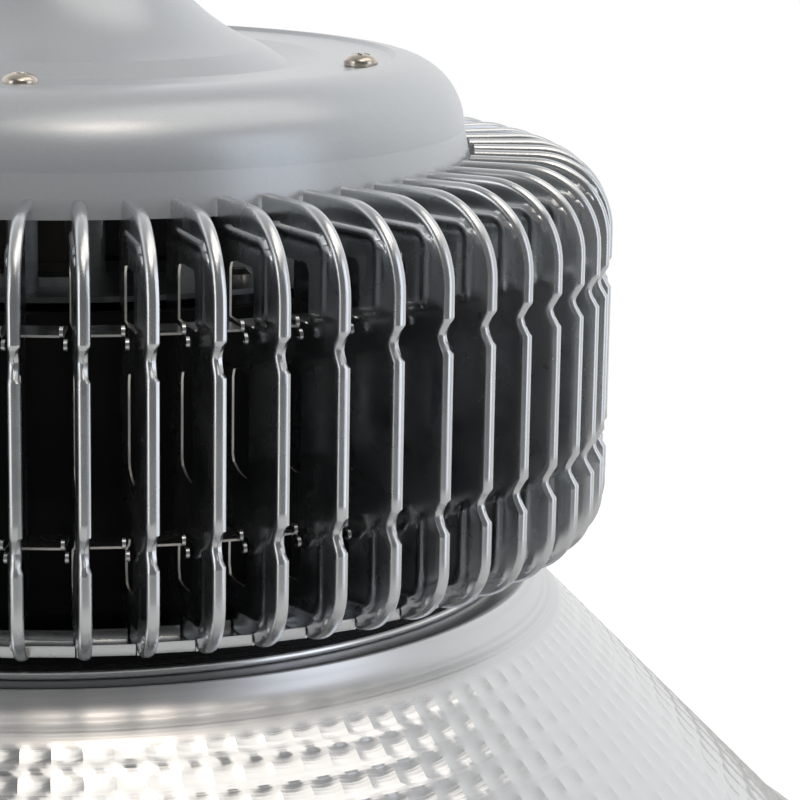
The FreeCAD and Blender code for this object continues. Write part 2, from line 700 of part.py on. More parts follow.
def reflector():
    """Spun cone of 45 degrees with a flange and a steep shoulder at the top and a rolled rim."""
    slant = REFLECTOR_WALL * math.sqrt(2)
    flange_z = REFLECTOR_TOP_Z - REFLECTOR_WALL
    face = outline(
        (COLLAR_HOLE, REFLECTOR_TOP_Z), *shoulder(0),
        (RIM_RADIUS, RIM_Z), (RIM_RADIUS - slant, RIM_Z),
        *reversed(shoulder(REFLECTOR_WALL)), (COLLAR_HOLE, flange_z),
    )
    roll = outline(arc(RIM_RADIUS, ROLL, ROLL, 0, 180), arc(RIM_RADIUS, ROLL, ROLL, 180, 360))
    shell = turned(face).fuse(turned(roll)).removeSplitter()
    return drill(shell, collar_screw_places(), hole(M4), flange_z - 1, REFLECTOR_TOP_Z + 1)


def reflector_screws():
    seat = REFLECTOR_TOP_Z - REFLECTOR_WALL
    made = [screw(at, seat, M4, 8, -1) for at in collar_screw_places()]
    return Part.makeCompound(made)


# ---- parts ---------------------------------------------------------------------------------------
PARTS = (
    top_cover, cover_screws, cover_posts, post_screws,
    neck_cap, eye_bolt, hanger_washer, hanger_nut,
    gland_body, gland_nut, gland_seal, gland_locknut,
    driver_plate, plate_pillars, pillar_screws,
    driver_case, driver_foot, driver_screws, terminal_block,
    cooling_fins, core_tube, heat_pipes, base_plate,
    led_board, led_emitter, board_holder, holder_screws,
    lens_gasket, glass_lens, lens_ring, lens_screws,
    reflector_collar, reflector, reflector_screws,
)

os.makedirs("parts", exist_ok=True)
for make in PARTS:
    make().exportStep("parts/%s.step" % make.__name__)
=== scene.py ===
import math

import bmesh
import bpy
import numpy as np
from mathutils import Matrix, Vector


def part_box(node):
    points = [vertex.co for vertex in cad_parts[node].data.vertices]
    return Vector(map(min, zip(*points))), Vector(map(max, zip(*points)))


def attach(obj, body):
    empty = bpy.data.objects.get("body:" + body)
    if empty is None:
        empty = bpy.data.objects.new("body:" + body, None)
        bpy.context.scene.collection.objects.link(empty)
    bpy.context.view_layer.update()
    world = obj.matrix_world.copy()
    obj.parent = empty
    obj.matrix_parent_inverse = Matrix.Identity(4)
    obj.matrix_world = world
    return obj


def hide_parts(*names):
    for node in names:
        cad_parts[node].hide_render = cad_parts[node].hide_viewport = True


# High bay light. Metres, +Z up; the lamp's axis is the Z axis and the reflector's rim is at z = 0.
# Bearings are degrees round the axis from -Y towards +X. The sizes that are named in capitals are
# millimetres, and the meshes are worked out in them.
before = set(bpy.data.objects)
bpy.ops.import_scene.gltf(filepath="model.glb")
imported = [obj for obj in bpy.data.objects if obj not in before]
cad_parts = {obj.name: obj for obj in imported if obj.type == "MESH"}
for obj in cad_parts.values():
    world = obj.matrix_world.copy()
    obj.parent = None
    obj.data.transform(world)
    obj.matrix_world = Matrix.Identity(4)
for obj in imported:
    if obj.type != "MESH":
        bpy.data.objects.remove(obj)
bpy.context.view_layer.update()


# ---- base plate ---------------------------------------------------------------------------------
# Thick aluminium disc that the light engine, the fins and the pipes are fixed to, and the tube
# on it that the fins stand round. Both are turned and black anodised. The tube's black is also
# painted shade: a dark wall that stands for the shade deep inside the fin ring.

def linear(hex_colour):
    """An sRGB hex colour as linear red, green, blue and alpha: each channel over 12.92 when dark,
    else its 2.4 power curve."""
    srgb = np.array([int(hex_colour[k:k + 2], 16) for k in (1, 3, 5)]) / 255
    low = srgb / 12.92
    high = ((srgb + 0.055) / 1.055) ** 2.4
    return (*np.where(srgb <= 0.04045, low, high), 1.0)


def add(tree, kind, inputs=None, **properties):
    """Adds one node: properties are set on it, and each input gets a value or another's socket."""
    made = tree.nodes.new("ShaderNode" + kind)
    for name, value in properties.items():
        setattr(made, name, value)
    for name, value in (inputs or {}).items():
        if isinstance(value, bpy.types.NodeSocket):
            tree.links.new(value, made.inputs[name])
        else:
            made.inputs[name].default_value = value
    return made


def new_finish(name, colour, metallic, roughness, **more):
    """A material with a Principled surface of one colour, ready for its pattern: the tree, the
    shader and the Object coordinates come back with it."""
    finish = bpy.data.materials.new(name)
    finish.use_nodes = True
    tree = finish.node_tree
    shader = tree.nodes["Principled BSDF"]
    shader.inputs["Base Color"].default_value = linear(colour)
    shader.inputs["Metallic"].default_value = metallic
    shader.inputs["Roughness"].default_value = roughness
    for socket, value in more.items():
        shader.inputs[socket.replace("_", " ")].default_value = value
    place = add(tree, "TexCoord").outputs["Object"]
    return finish, tree, shader, place


def spread_of(tree, place, scale, stretch=(1, 1, 1), detail=4.0):
    """A noise value over Object coordinates. Scale is cells per metre; stretch squeezes an axis."""
    placed = add(tree, "Mapping", {"Vector": place, "Scale": stretch}).outputs["Vector"]
    noise = add(tree, "TexNoise", {"Vector": placed, "Scale": scale, "Detail": detail})
    return noise.outputs["Fac"]


def vary(tree, shader, socket, value, low, high):
    """Runs a socket between two values as a 0 to 1 pattern changes; the middle of the pattern is
    stretched, because noise seldom leaves it."""
    ranged = add(tree, "MapRange", {
        "Value": value, "From Min": 0.3, "From Max": 0.7, "To Min": low, "To Max": high,
    })
    tree.links.new(ranged.outputs["Result"], shader.inputs[socket])


def tint(tree, shader, value, colour, other):
    """Runs the base colour between two hex colours as a pattern changes."""
    ramp = add(tree, "ValToRGB", {"Fac": value})
    ramp.color_ramp.elements[0].position = 0.32
    ramp.color_ramp.elements[0].color = linear(colour)
    ramp.color_ramp.elements[1].position = 0.68
    ramp.color_ramp.elements[1].color = linear(other)
    tree.links.new(ramp.outputs["Color"], shader.inputs["Base Color"])


def relief(tree, shader, value, height):
    """Bump from a 0 to 1 pattern, height in metres from its lowest to its highest."""
    bump = add(tree, "Bump", {"Height": value, "Distance": height})
    tree.links.new(bump.outputs["Normal"], shader.inputs["Normal"])


def rings_of(tree, place, pitch):
    """A noise value that only changes with the distance from the lamp's axis, as turning and
    spinning lines do: the distance times the lines per metre is the noise's one coordinate."""
    flat = add(tree, "VectorMath", {0: place, 1: (1, 1, 0)}, operation="MULTIPLY")
    distance = add(tree, "VectorMath", {0: flat.outputs["Vector"]}, operation="LENGTH")
    noise = add(tree, "TexNoise", {
        "W": distance.outputs["Value"], "Scale": 1 / pitch, "Detail": 3.0,
    }, noise_dimensions="1D")
    return noise.outputs["Fac"]


def dress(finish, *nodes):
    """Gives CAD nodes a finish in place of the plain one they came with."""
    for name in nodes:
        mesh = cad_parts[name].data
        mesh.materials.clear()
        mesh.materials.append(finish)


# black anodised aluminium, turned: nearly black, with a satin sheen in rings. On the core tube this
# black is painted shade for the dark inside of the fin ring
anodised_black_and_painted_shade, tree, shader, place = new_finish("black_anodised_aluminium_and_painted_shade", "#0C0C0D", 0.6, 0.5)
turning = rings_of(tree, place, 0.0009)
vary(tree, shader, "Roughness", turning, 0.42, 0.6)
relief(tree, shader, turning, 0.00004)
dress(anodised_black_and_painted_shade, "base_plate", "core_tube")


# ---- heat pipes ---------------------------------------------------------------------------------
# Six copper tubes, soldered into the base plate's grooves and up the inside of the tube. Copper
# that has been through the soldering oven has gone brown, with brighter patches.

# copper browned in the oven
oven_copper, tree, shader, place = new_finish("oven_browned_copper", "#8A5A3E", 1.0, 0.34)
patches = spread_of(tree, place, 90.0)
tint(tree, shader, patches, "#6B4431", "#A8714E")
vary(tree, shader, "Roughness", patches, 0.28, 0.45)
dress(oven_copper, "heat_pipes")


# ---- cooling fins -------------------------------------------------------------------------------
# Sixty fins stamped from 0.6 mm aluminium sheet. Each has a lip bent round its outer edge, two
# nicks in it, stiffening beads, three windows, and tabs that hook it to the next fin.

MM = 0.001                  # metres in a millimetre
FIN_COUNT = 60
FIRST_FIN = -4.8            # bearing of one fin
SHEET = 0.6
RING = 160.0                # outside of the fin ring
TOP, BOTTOM = 228.4, 116.4
CORNER_TOP, CORNER_BOTTOM = 22.0, 16.0
LIP = 3.5
BEND = 1.2                  # middle radius of the lip's bend
FOOT = 119.8                # where the cover's edge ends and the lip starts
NICKS = (194.1, 146.9)
NICK_DEEP, NICK_HALF = 2.7, 4.4             # depth, and half the length along the edge
NICK_BLUNT = 0.03           # how far the nick's V is rounded; 0 is sharp
PANEL_X = (116.0, 154.4)    # the flat middle of a fin, between its inner edge and the lip's band
PANEL_Z = (121.5, 222.6)
INSIDE_TOP, INSIDE_BOTTOM = 20.1, 14.2      # the corners' radii at the panel's border
BEAD_X, BEAD_TOP, BEAD_FOOT = 152.2, 220.6, 124.0
BEAD_CORNER, BEAD_HALF, BEAD_RISE = 4.0, 1.3, 0.45
SHELF_RISE, PRESSED_RISE = 0.3, 0.5         # inside the bead, and of the end panels themselves
WINDOWS = (                 # from the axis out, and up
    ((130.0, 145.5), (198.4, 214.0)),
    ((130.0, 141.0), (158.4, 186.5)),
    ((130.0, 142.5), (131.1, 144.0)),
)
WINDOW_CORNER = 0.8
SLANT = 2.4                 # rise of the middle window's foot towards the axis
COVER_STEP = 5.4            # the cover stands this far below the fin's top
TAB_X = (130.0, 142.5)
SHELVES = ((198.0, False), (144.3, True))   # a tab's height, and whether its window is below it
TAB_REACH, TAB_BEND = 12.4, 0.7
HOOK_WIDTH, HOOK_RADIUS = 0.9, 1.2


def steps(start, *runs):
    """Grid lines from start through each run's end, in that run's number of equal steps."""
    lines = [np.array([start])]
    for end, count in runs:
        lines.append(np.linspace(lines[-1][-1], end, count + 1)[1:])
    return np.concatenate(lines)


def smooth(value, low, high):
    """0 below low, 1 above high, and an S curve between them."""
    share = np.clip((value - low) / (high - low), 0, 1)
    return share * share * (3 - 2 * share)


# the panel's grid lines, closest together where the sheet bends
LINES_X = steps(116.0, (119.8, 1), (128.4, 2), (130, 1), (134, 1), (138, 1), (141, 1),
                (142.5, 1), (144, 1), (145.5, 1), (148.6, 2), (150.6, 2), (153.4, 6), (154.4, 1))
LINES_Z = steps(121.5, (122.8, 1), (125.2, 5), (127, 1), (131.1, 2), (138, 2), (140.4, 1),
                (142.5, 2), (144, 1), (148.8, 4), (151.3, 2), (158.4, 2), (164, 2), (183.5, 3),
                (186.5, 1), (189.7, 1), (198.4, 8), (199.2, 1), (202.4, 4), (206.4, 2),
                (214, 3), (217.4, 2), (219.2, 2), (221.8, 6), (222.6, 1))


def panel_height(x, z):
    """How far the sheet stands out of its plane, towards the lower bearing: a half round bead
    along a rounded corner, a shelf inside it, and end panels pressed 0.5 mm proud of the middle."""
    # the two end panels: 0 outside them and 1 inside, each with a slanting border
    upper = smooth(z - 0.15 * (x - 146), 199.3, 201.2)
    lower = smooth(0.567 * np.maximum(x - 144, 0) - z, -141.9, -140.2)
    over_x = x - (BEAD_X - BEAD_CORNER)
    over_top = z - (BEAD_TOP - BEAD_CORNER)
    over_foot = (BEAD_FOOT + BEAD_CORNER) - z
    over_z = np.where(z > (TOP + BOTTOM) / 2, over_top, over_foot)
    outside = np.hypot(np.maximum(over_x, 0), np.maximum(over_z, 0))
    inside = np.minimum(np.maximum(over_x, over_z), 0)
    path = outside + inside - BEAD_CORNER               # distance from the bead's line, out is +
    bead = BEAD_RISE * np.clip(1 - (path / BEAD_HALF) ** 2, 0, None)
    shelf = SHELF_RISE * smooth(-path, 0.4, 3.4)
    margin = PRESSED_RISE * (1 - smooth(z, 218.4, 219.8) * smooth(path, 0.5, 1.5))
    return (bead + shelf + margin) * np.maximum(upper, lower) * smooth(x, FOOT, 128.4)


def rounded(x, z):
    """The panel's two outer corners drawn in to an arc: a point's distance from the corner's
    centre is shortened by as much as the border along the same ray is too far out."""
    corners = (
        (TOP - CORNER_TOP, CORNER_TOP, INSIDE_TOP, 1),
        (BOTTOM + CORNER_BOTTOM, CORNER_BOTTOM, INSIDE_BOTTOM, -1),
    )
    for centre_z, corner, limit, way in corners:
        centre_x = RING - corner
        out_x = np.maximum(x - centre_x, 0)
        out_z = np.maximum((z - centre_z) * way, 0)
        border_z = (PANEL_Z[1] - centre_z) if way > 0 else (centre_z - PANEL_Z[0])
        share = np.maximum(out_x / (PANEL_X[1] - centre_x), out_z / border_z)
        reach = np.hypot(out_x, out_z)
        cut = np.minimum(1, limit * np.maximum(share, 1e-6) / np.maximum(reach, 1e-6))
        both = (out_x > 0) & (out_z > 0)
        scale = np.where(both, 1 - smooth(share, 0.55, 1) * (1 - cut), 1)
        x = np.where(both, centre_x + out_x * scale, x)
        z = np.where(both, centre_z + way * out_z * scale, z)
    return x, z


def panel_grid():
    """The flat middle: every grid line of x against every grid line of z. The middle window's
    foot slants, so the lines near it are lifted by up to SLANT at the window's inner side."""
    x, z = np.meshgrid(LINES_X, LINES_Z, indexing="ij")
    (inner, outer), (foot, head) = WINDOWS[1]
    hat = np.interp(z, (foot - 12, foot, head - 3), (0, 1, 0))
    lift = SLANT * np.clip((outer - x) / (outer - inner), 0, 1) * smooth(x, PANEL_X[0], inner)
    return rounded(x, z + lift * hat)


def edge_out(z):
    """The lip's distance from the axis at a height: the ring's radius, less two rounded nicks."""
    out = np.full_like(z, RING)
    for middle in NICKS:
        share = np.clip(np.abs(z - middle) / NICK_HALF, 0, 1)
        out -= NICK_DEEP * (1 - np.sqrt(share ** 2 + NICK_BLUNT) / math.sqrt(1 + NICK_BLUNT))
    return out


def quarter(run, length):
    """The angle round a quarter circle, as its share of a length that is run through evenly."""
    return np.clip(run / length, 0, 1) * math.pi / 2


def band_ends():
    """The panel's border from the cover's foot out, down and in, and for each of its points the
    point on the fin's edge that it is joined to: straight across, or along the corner's arc."""
    upper_x, upper_z = RING - CORNER_TOP, TOP - CORNER_TOP              # the corners' centres
    lower_x, lower_z = RING - CORNER_BOTTOM, BOTTOM + CORNER_BOTTOM
    top = LINES_X[LINES_X > FOOT - 0.1]
    foot = LINES_X[LINES_X > lower_x - 0.1][::-1]
    border_x = np.concatenate([top, np.full(len(LINES_Z) - 2, PANEL_X[1]), foot])
    border_z = np.concatenate([
        np.full(len(top), PANEL_Z[1]), LINES_Z[-2:0:-1], np.full(len(foot), PANEL_Z[0])])

    run = (border_x - upper_x) + (PANEL_Z[1] - border_z)
    turn = quarter(run, (PANEL_X[1] - upper_x) + (PANEL_Z[1] - upper_z))
    edge_x = np.where(run < 0, border_x, upper_x + CORNER_TOP * np.sin(turn))
    edge_z = np.where(run < 0, TOP, TOP - CORNER_TOP * (1 - np.cos(turn)))

    side = (border_x > PANEL_X[1] - 0.1) & (border_z < upper_z) & (border_z > lower_z)
    edge_x = np.where(side, edge_out(border_z), edge_x)
    edge_z = np.where(side, border_z, edge_z)

    under = border_z <= lower_z
    run = (lower_z - border_z) + (PANEL_X[1] - border_x)
    turn = quarter(run, (lower_z - PANEL_Z[0]) + (PANEL_X[1] - lower_x))
    edge_x = np.where(under, RING - CORNER_BOTTOM * (1 - np.cos(turn)), edge_x)
    edge_z = np.where(under, lower_z - CORNER_BOTTOM * np.sin(turn), edge_z)
    return *rounded(border_x, border_z), edge_x, edge_z


def band_grid():
    """The rest of the fin: a section carried along its edge. Across, it leaves the panel's border,
    runs to the bend, turns a quarter circle and ends as the lip, whose free edge rolls in."""
    border_x, border_z, edge_x, edge_z = band_ends()
    inward = np.stack([border_x - edge_x, border_z - edge_z])
    along = np.gradient(np.stack([edge_x, edge_z]), axis=1)
    normal = np.stack([along[1], -along[0]])
    normal /= np.linalg.norm(normal, axis=0)
    normal *= np.sign((normal * inward).sum(0))

    middle = SHEET / 2                                  # of the sheet's thickness
    nick = sum(np.clip(1 - np.abs(edge_z - height) / NICK_HALF, 0, 1) for height in NICKS)
    width = LIP - 0.5 * np.minimum(nick * 4, 1) - middle    # the lip is narrower in a nick
    dimple = 0.5 * np.clip(2.4 * nick - 1.4, 0, 1)      # the punch's mark in a nick's middle
    lip_side = np.stack([width, width - 0.2, width - 0.85, width * 0.5 + 0.5])
    lip_depth = middle + np.stack([
        np.full_like(width, 0.75), np.full_like(width, 0.35), np.full_like(width, 0.04), dimple])
    turn = np.linspace(0, math.pi / 2, 5)
    bend_side = middle + BEND * (1 - np.sin(turn))
    bend_depth = middle + BEND * (1 - np.cos(turn))     # from the lip's face into the fin
    once = np.ones_like(width)
    side = np.concatenate([lip_side, np.outer(bend_side, once)])
    depth = np.concatenate([lip_depth, np.outer(bend_depth, once)])
    x = edge_x + normal[0] * depth
    z = edge_z + normal[1] * depth

    share = np.linspace(0, 1, 4)[1:, None]              # from the bend to the panel's border
    web_x = x[-1] + (border_x - x[-1]) * share
    web_z = z[-1] + (border_z - z[-1]) * share
    web_y = middle - panel_height(border_x, border_z) * smooth(share, 0, 1)
    return np.concatenate([x, web_x]), np.concatenate([side, web_y]), np.concatenate([z, web_z])


def tab_grid(z, from_below):
    """A tab bent square off the web towards the next fin: a quarter circle, then flat."""
    inner, outer = TAB_X
    turn = np.linspace(0, math.pi / 2, 4)
    flat = steps(3.0, (6.5, 1), (TAB_REACH, 2))
    side = np.concatenate([SHEET / 2 + TAB_BEND * (1 - np.cos(turn)), flat])
    rise = np.concatenate([TAB_BEND * (1 - np.sin(turn)), 0 * flat]) * (-1 if from_below else 1)
    x = steps(inner, (outer - 2.6, 3), (outer - 1, 1), (outer, 1))
    return (np.repeat(x[:, None], len(side), 1), np.repeat(side[None], len(x), 0),
            np.repeat(z + rise[None], len(x), 0))


def foot_grid():
    """The tab at the fin's foot: a channel across to the next fin, 3 mm deep and open at the top,
    with a rounded corner on each side of its floor."""
    x = np.array([130.0, 130.0, 130.3, 131.0, 143.0, 143.7, 144.0, 144.0])[:, None]
    z = BOTTOM + np.array([3.2, 1.0, 0.5, 0.3, 0.3, 0.5, 1.0, 3.3])[:, None]
    reach = x * math.tan(2 * math.pi / FIN_COUNT) - SHEET / 2 - 0.15
    share = np.array([0.0, 0.07, 0.45, 1.0])[None]
    side = SHEET / 2 + (reach - SHEET / 2) * share
    return x + 0 * side, side, z + 0 * side


def hook_grid(z, way):
    """One of the two hooks at a tab's far corner: a narrow strip that goes outwards and curls
    over, up or down, along 216 degrees of a circle."""
    turn = np.linspace(0, 1.2 * math.pi, 8)
    out = np.concatenate([[0.0], 0.5 + HOOK_RADIUS * np.sin(turn)])
    up = way * np.concatenate([[0.0], HOOK_RADIUS * (1 - np.cos(turn))])
    start = TAB_REACH - 1.0 if way > 0 else TAB_REACH
    side = np.array([start, start + HOOK_WIDTH])
    return (TAB_X[1] + np.repeat(out[:, None], 2, 1), np.repeat(side[None], len(out), 0),
            z + np.repeat(up[:, None], 2, 1))


def quads(shape, skip=None):
    """Corner numbers of a grid's cells, row by row; skip is a mask of cells to leave open."""
    rows, columns = shape
    first = (np.arange(rows - 1)[:, None] * columns + np.arange(columns - 1)[None]).ravel()
    cells = np.stack([first, first + columns, first + columns + 1, first + 1], 1)
    return cells if skip is None else cells[~skip.ravel()]


def strip_grid(lines, start, end):
    """Flat web between the panel's border and another height, on some of the panel's lines."""
    x = np.repeat(lines[:, None], 2, 1)
    return x, np.full_like(x, SHEET / 2), np.repeat(np.array([[start, end]]), len(lines), 0)


def cut_windows(x, z):
    """The mask of the panel's cells that are open. Each window's four corners are also moved
    towards its middle, which rounds them."""
    middle_x = (LINES_X[1:] + LINES_X[:-1])[:, None] / 2
    middle_z = (LINES_Z[1:] + LINES_Z[:-1])[None] / 2
    open_cells = np.zeros((len(LINES_X) - 1, len(LINES_Z) - 1), bool)
    for (x0, x1), (z0, z1) in WINDOWS:
        open_cells |= (middle_x > x0) & (middle_x < x1) & (middle_z > z0) & (middle_z < z1)
        for at_x, way_x in ((x0, 1), (x1, -1)):
            for at_z, way_z in ((z0, 1), (z1, -1)):
                i = np.abs(LINES_X - at_x).argmin()
                j = np.abs(LINES_Z - at_z).argmin()
                x[i, j] += WINDOW_CORNER * way_x
                z[i, j] += WINDOW_CORNER * way_z
    return open_cells


def fin_mesh():
    """One fin along +X as points and four cornered cells: its grids one after another."""
    x, z = panel_grid()
    skips = [cut_windows(x, z)]
    foot = LINES_X[LINES_X < RING - CORNER_BOTTOM + 0.1]
    grids = [
        (x, SHEET / 2 - panel_height(x, z), z),
        band_grid(),
        strip_grid(LINES_X[:2], PANEL_Z[1], TOP - COVER_STEP),
        strip_grid(foot, PANEL_Z[0], BOTTOM),
    ]
    grids += [tab_grid(height, from_below) for height, from_below in SHELVES]
    grids.append(foot_grid())
    for height, _ in SHELVES:
        grids += [hook_grid(height, 1), hook_grid(height - HOOK_WIDTH, -1)]
    skips += [None] * (len(grids) - 1)
    points, cells, count = [], [], 0
    for (x, y, z), skip in zip(grids, skips):
        points.append(np.stack([x.ravel(), y.ravel(), z.ravel()], 1))
        cells.append(quads(x.shape, skip) + count)
        count += x.size
    return np.concatenate(points), np.concatenate(cells)


def turned(points, angles):
    """Copies of the points round the axis, one for each bearing, from their place along +X."""
    a = np.radians(angles - 90)[:, None]
    x, y, z = points.T
    return np.stack([x * np.cos(a) - y * np.sin(a), x * np.sin(a) + y * np.cos(a),
                     np.broadcast_to(z, (len(a), len(z)))], 2).reshape(-1, 3)


def piece(name, points, cells, finishes):
    """A smooth shaded object from points in millimetres and four cornered cells."""
    mesh = bpy.data.meshes.new(name)
    mesh.from_pydata(points * MM, [], cells)
    for finish in finishes:
        mesh.materials.append(finish)
    mesh.shade_smooth()
    made = bpy.data.objects.new(name, mesh)
    bpy.context.scene.collection.objects.link(made)
    return made


def join(made):
    """Merges the points where a piece's grids meet and turns every face outward."""
    shape = bmesh.new()
    shape.from_mesh(made.data)
    bmesh.ops.remove_doubles(shape, verts=shape.verts, dist=0.00001)
    bmesh.ops.recalc_face_normals(shape, faces=shape.faces)
    shape.to_mesh(made.data)
    shape.free()


def settle(made, sharp):
    """Works a piece's modifiers into its mesh and keeps the edges over an angle crisp."""
    seen = made.evaluated_get(bpy.context.evaluated_depsgraph_get())
    mesh = bpy.data.meshes.new_from_object(seen)
    made.modifiers.clear()
    made.data = mesh
    mesh.set_sharp_from_angle(angle=math.radians(sharp))


# mill finish aluminium sheet: a bright metal with faint rolling lines up the fin
mill_aluminium, tree, shader, place = new_finish("mill_finish_aluminium", "#D3D6D8", 1.0, 0.24)
rolling = spread_of(tree, place, 1400.0, (1, 1, 0.03), 3.0)
cloud = spread_of(tree, place, 60.0)
vary(tree, shader, "Roughness", cloud, 0.2, 0.32)
relief(tree, shader, rolling, 0.000025)

# sheared aluminium edge: the die leaves it bright and slightly torn
sheared_aluminium, tree, shader, place = new_finish("sheared_aluminium", "#E6E4DF", 1.0, 0.36)
relief(tree, shader, spread_of(tree, place, 900.0), 0.00005)

fin_points, fin_cells = fin_mesh()
bearings = FIRST_FIN + 360 / FIN_COUNT * np.arange(FIN_COUNT)
GROUP = 15                  # fins in one object
for first in range(0, FIN_COUNT, GROUP):
    group = bearings[first:first + GROUP]
    shift = len(fin_points) * np.arange(len(group))
    cells = (fin_cells[None] + shift[:, None, None]).reshape(-1, 4)
    fins = piece("fins_%d" % (first // GROUP + 1), turned(fin_points, group), cells,
                 (mill_aluminium, sheared_aluminium))
    join(fins)
    wall = fins.modifiers.new("wall", "SOLIDIFY")
    wall.thickness = SHEET * MM
    wall.offset = 0
    wall.material_offset_rim = 1
    settle(fins, sharp=35)
    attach(fins, "root")
    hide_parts("cooling_fins")


# ---- driver deck --------------------------------------------------------------------------------
# The driver's case is dull grey-brown coated steel on a zinc plated strap and deck. Turned steel
# pillars and posts hold the deck, with nickel plated screws; the wires end in a nylon block.

# zinc plated steel: pale and slightly blue-grey, with a faint spangle
zinc_steel, tree, shader, place = new_finish("zinc_plated_steel", "#B4B6B8", 1.0, 0.36)
spangle = spread_of(tree, place, 260.0)
tint(tree, shader, spangle, "#A3A6A9", "#C3C5C6")
vary(tree, shader, "Roughness", spangle, 0.3, 0.44)
dress(zinc_steel, "driver_plate", "driver_foot", "plate_pillars", "cover_posts")

# grey-brown coating on the driver's case: dull and fine grained
coated_case, tree, shader, place = new_finish("grey_brown_coated_case", "#55504B", 0.3, 0.55)
cloud = spread_of(tree, place, 70.0)
tint(tree, shader, cloud, "#4A4540", "#5D5853")
relief(tree, shader, spread_of(tree, place, 1500.0), 0.00003)
dress(coated_case, "driver_case")

# black nylon: moulded, with a fine grain that breaks its shine
black_nylon, tree, shader, place = new_finish("black_nylon", "#1B1B1D", 0.0, 0.45)
grain = spread_of(tree, place, 1800.0)
vary(tree, shader, "Roughness", grain, 0.38, 0.52)
relief(tree, shader, grain, 0.00002)
dress(black_nylon, "terminal_block", "gland_body", "gland_nut", "gland_locknut")

# nickel plating: a warm mirror, a little clouded
nickel, tree, shader, place = new_finish("nickel_plated_steel", "#C9C0B4", 1.0, 0.17)
cloud = spread_of(tree, place, 700.0)
vary(tree, shader, "Roughness", cloud, 0.13, 0.24)
relief(tree, shader, spread_of(tree, place, 2500.0), 0.000006)
dress(nickel, "post_screws", "pillar_screws", "driver_screws", "holder_screws", "lens_screws",
      "reflector_screws", "hanger_washer", "hanger_nut")


# ---- top cover ----------------------------------------------------------------------------------
# Bell spun from aluminium and powder coated in silver grey: satin, with fine metal flake in it
# and the slight orange peel of powder.

# silver powder coat: the peel and the flake together make its relief
silver_powder, tree, shader, place = new_finish("silver_powder_coat", "#C2C7CB", 0.3, 0.27)
peel = spread_of(tree, place, 420.0, detail=2.0)
flake = spread_of(tree, place, 5200.0, detail=1.0)
both = add(tree, "Math", {0: peel, 1: flake}, operation="ADD")
half = add(tree, "Math", {0: both.outputs["Value"], 1: 0.5}, operation="MULTIPLY")
relief(tree, shader, half.outputs["Value"], 0.00004)
tint(tree, shader, flake, "#BBC0C5", "#C8CDD1")
dress(silver_powder, "top_cover", "neck_cap")


# ---- cover screws -------------------------------------------------------------------------------
# Four M5 pan heads with a cross recess, nickel plated, each stopped at its own angle. Below the
# head is a plain shank in the post.

SCREW_CIRCLE = 90.3         # distance of a screw from the axis
SCREW_BEARINGS = (-6.5, 67.5, 173.5, 247.5)
HEAD, HEAD_HIGH, SHANK, SHANK_LONG = 4.8, 3.6, 2.5, 12.0
SCREW_STOPS = (32.0, 71.0, 40.0, 5.0)       # how far round each cross has come to rest, degrees
ARM_LONG, ARM_HALF, RECESS_DEEP = 2.55, 0.62, 1.9


def lathe(radius, height, count):
    """A profile turned round the Z axis: x = r sin a, y = -r cos a, z = h, with the first and the
    last angle in the same place."""
    a = np.linspace(0, 2 * math.pi, count + 1)[None]
    radius, height = np.asarray(radius)[:, None], np.asarray(height)[:, None]
    return radius * np.sin(a), -radius * np.cos(a), height + 0 * a


def pan_head():
    """One screw on the Z axis, its seat at 0. The crown is a quarter ellipse and the recess goes
    down where |x| or |y| is under half an arm's width, shallower towards the arms' ends."""
    recess = np.linspace(0, 2.9, 24)                    # fine steps where the recess is
    crown = np.concatenate([recess, HEAD * np.sin(np.linspace(0.66, 1.571, 9))])
    rim = 0.32 * HEAD_HIGH
    top = rim + (HEAD_HIGH - rim) * np.sqrt(np.clip(1 - (crown / HEAD) ** 2, 0, 1))
    radius = np.concatenate([crown, [HEAD, HEAD - 0.25, SHANK, SHANK, SHANK - 0.5, 0]])
    height = np.concatenate([top, [0.25, 0, 0, 0.5 - SHANK_LONG, -SHANK_LONG, -SHANK_LONG]])
    x, y, z = lathe(radius, height, 112)
    arm = np.maximum(np.minimum(ARM_HALF - np.abs(y), ARM_LONG - np.abs(x)),
                     np.minimum(ARM_HALF - np.abs(x), ARM_LONG - np.abs(y)))
    depth = RECESS_DEEP * (1 - 0.45 * np.hypot(x, y) / ARM_LONG)
    z = z - np.where(z > rim, depth * smooth(arm, -0.09, 0.13), 0)
    return x, y, z


x, y, z = pan_head()
head_cells = quads(x.shape)
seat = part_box("cover_screws")[1][2] / MM - HEAD_HIGH        # height of the heads' flat side
screw_points = []
for bearing, stop in zip(SCREW_BEARINGS, SCREW_STOPS):
    a, b = math.radians(stop), math.radians(bearing)
    screw_points.append(np.stack([
        (x * math.cos(a) - y * math.sin(a) + SCREW_CIRCLE * math.sin(b)).ravel(),
        (x * math.sin(a) + y * math.cos(a) - SCREW_CIRCLE * math.cos(b)).ravel(),
        (z + seat).ravel()], 1))
cells = np.concatenate([head_cells + k * x.size for k in range(len(SCREW_BEARINGS))])
heads = piece("pan_head_screws", np.concatenate(screw_points), cells, (nickel,))
join(heads)
settle(heads, sharp=35)
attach(heads, "root")
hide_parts("cover_screws")


# ---- eye bolt and gland -------------------------------------------------------------------------
# The eye is forged and zinc plated. The gland behind the neck is black nylon like the terminal
# block, with a rubber seal.

# zinc plating over a forging: the scale's shallow marks show through it
plated_forging, tree, shader, place = new_finish("zinc_plated_forging", "#B9BBBD", 1.0, 0.38)
scale_marks = spread_of(tree, place, 300.0)
vary(tree, shader, "Roughness", scale_marks, 0.3, 0.48)
relief(tree, shader, scale_marks, 0.0001)
dress(plated_forging, "eye_bolt")

# black rubber: matt
rubber, tree, shader, place = new_finish("black_rubber", "#141414", 0.0, 0.7)
relief(tree, shader, spread_of(tree, place, 1200.0), 0.00003)
dress(rubber, "gland_seal", "lens_gasket")


